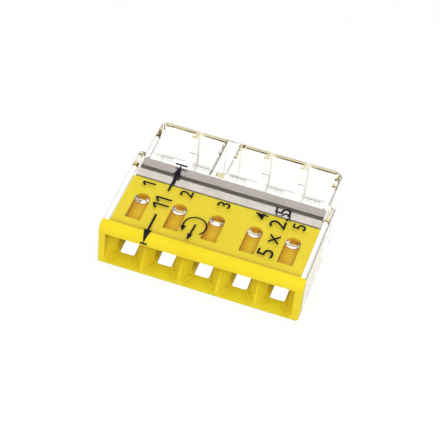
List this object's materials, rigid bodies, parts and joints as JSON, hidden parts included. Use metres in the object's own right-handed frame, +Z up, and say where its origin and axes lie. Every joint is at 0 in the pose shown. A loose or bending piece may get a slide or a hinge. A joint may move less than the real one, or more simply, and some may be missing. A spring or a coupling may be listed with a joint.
{
  "type": "push-in wire connector",
  "caption": "Push-in splice connector: clear housing with stepped rear blocks, coloured entry insert with a row of funnels, busbar and spring tongues inside.",
  "frame": {"origin": "centre of the footprint, on the underside that it lies on", "axes": "+X along the row of ways, +Y the way a wire is pushed in (front entries face -Y), +Z up"},
  "size_m": [0.0208, 0.0164, 0.005],
  "materials": {
    "clear_polycarbonate": "clear moulded polycarbonate, polished mould",
    "yellow_polyamide": "moulded, satin gloss",
    "tinned_copper": "tin plated copper strip",
    "spring_steel": "rolled stainless spring steel",
    "black_print": "pad-printed black ink on the clear housing"
  },
  "bodies": {
    "housing": {"clear_housing": "clear_polycarbonate", "entry_insert": "yellow_polyamide", "busbar": "tinned_copper", "spring_strip": "spring_steel"},
    "tongue_1": {"spring_tongue_1": "spring_steel"},
    "tongue_2": {"spring_tongue_2": "spring_steel"},
    "tongue_3": {"spring_tongue_3": "spring_steel"},
    "tongue_4": {"spring_tongue_4": "spring_steel"},
    "tongue_5": {"spring_tongue_5": "spring_steel"}
  },
  "joints": [
    {"name": "tongue_1_lift", "type": "hinge", "parent": "housing", "child": "tongue_1", "pos_m": [-0.00776, 0.0009, 0.0035], "axis": [1, 0, 0], "range_deg": [0, 46], "stiffness_Nm_per_rad": 0.03},
    {"name": "tongue_2_lift", "type": "hinge", "parent": "housing", "child": "tongue_2", "pos_m": [-0.00388, 0.0009, 0.0035], "axis": [1, 0, 0], "range_deg": [0, 46], "stiffness_Nm_per_rad": 0.03},
    {"name": "tongue_3_lift", "type": "hinge", "parent": "housing", "child": "tongue_3", "pos_m": [0, 0.0009, 0.0035], "axis": [1, 0, 0], "range_deg": [0, 46], "stiffness_Nm_per_rad": 0.03},
    {"name": "tongue_4_lift", "type": "hinge", "parent": "housing", "child": "tongue_4", "pos_m": [0.00388, 0.0009, 0.0035], "axis": [1, 0, 0], "range_deg": [0, 46], "stiffness_Nm_per_rad": 0.03},
    {"name": "tongue_5_lift", "type": "hinge", "parent": "housing", "child": "tongue_5", "pos_m": [0.00776, 0.0009, 0.0035], "axis": [1, 0, 0], "range_deg": [0, 46], "stiffness_Nm_per_rad": 0.03}
  ]
}
